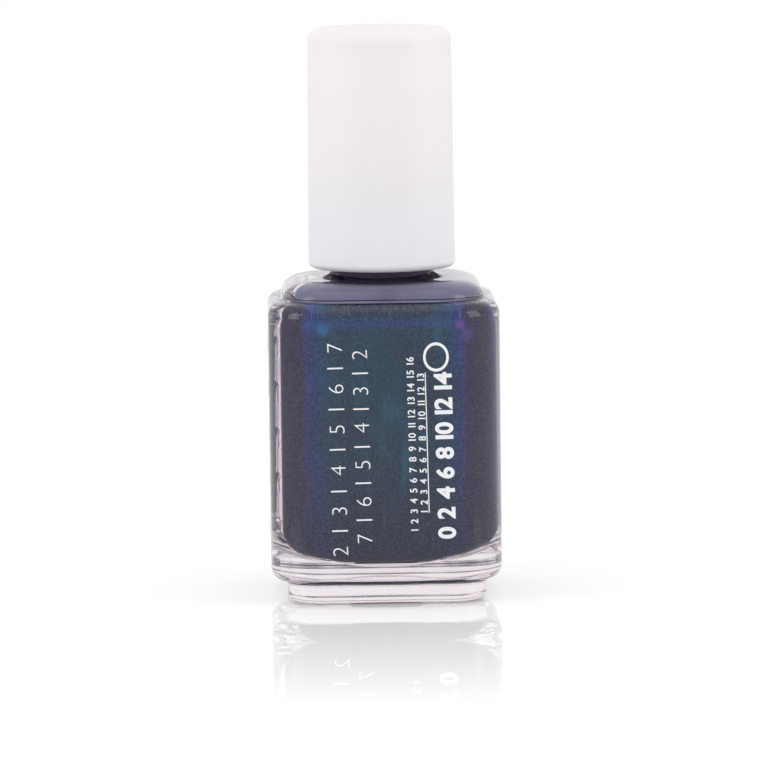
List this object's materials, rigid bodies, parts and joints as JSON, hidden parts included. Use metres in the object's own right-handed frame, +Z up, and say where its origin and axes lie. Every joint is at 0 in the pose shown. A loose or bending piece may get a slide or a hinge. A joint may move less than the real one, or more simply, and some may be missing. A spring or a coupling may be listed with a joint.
{
  "type": "nail polish bottle",
  "caption": "Square glass nail polish bottle with a round screw cap that carries the stem and brush.",
  "frame": {"origin": "centre of the underside of the foot, on the surface the bottle stands on", "axes": "+Z up along the neck, -Y out of the printed front, +X to the right of someone facing the front"},
  "size_m": [0.031, 0.0304, 0.0751],
  "materials": {
    "clear_glass": "polished clear glass",
    "polish_liquid": "slate blue shimmer lacquer",
    "ball_steel": "polished stainless steel",
    "label_paper": "blank matt film label",
    "cap_plastic": "satin white",
    "inner_plastic": "natural white polypropylene",
    "seal_plastic": "soft translucent polyethylene",
    "stem_plastic": "natural polyethylene",
    "anchor_steel": "stainless strip",
    "bristle_fibre": "nylon filaments wetted with polish"
  },
  "bodies": {
    "bottle": {"glass_bottle": "clear_glass", "polish": "polish_liquid", "mixing_ball_1": "ball_steel", "mixing_ball_2": "ball_steel", "base_label": "label_paper"},
    "seal": {"sealing_ring": "seal_plastic"},
    "applicator": {"overcap": "cap_plastic", "inner_cap": "inner_plastic", "stem": "stem_plastic", "brush_anchor": "anchor_steel", "bristles": "bristle_fibre"}
  },
  "joints": [
    {"name": "applicator_lift", "type": "slide", "parent": "bottle", "child": "seal", "axis": [0, 0, 1], "range_m": [0, 0.055]},
    {"name": "cap_turn", "type": "hinge", "parent": "seal", "child": "applicator", "pos_m": [0, 0, 0.0557], "axis": [0, 0, 1], "range_deg": [0, 540]}
  ]
}
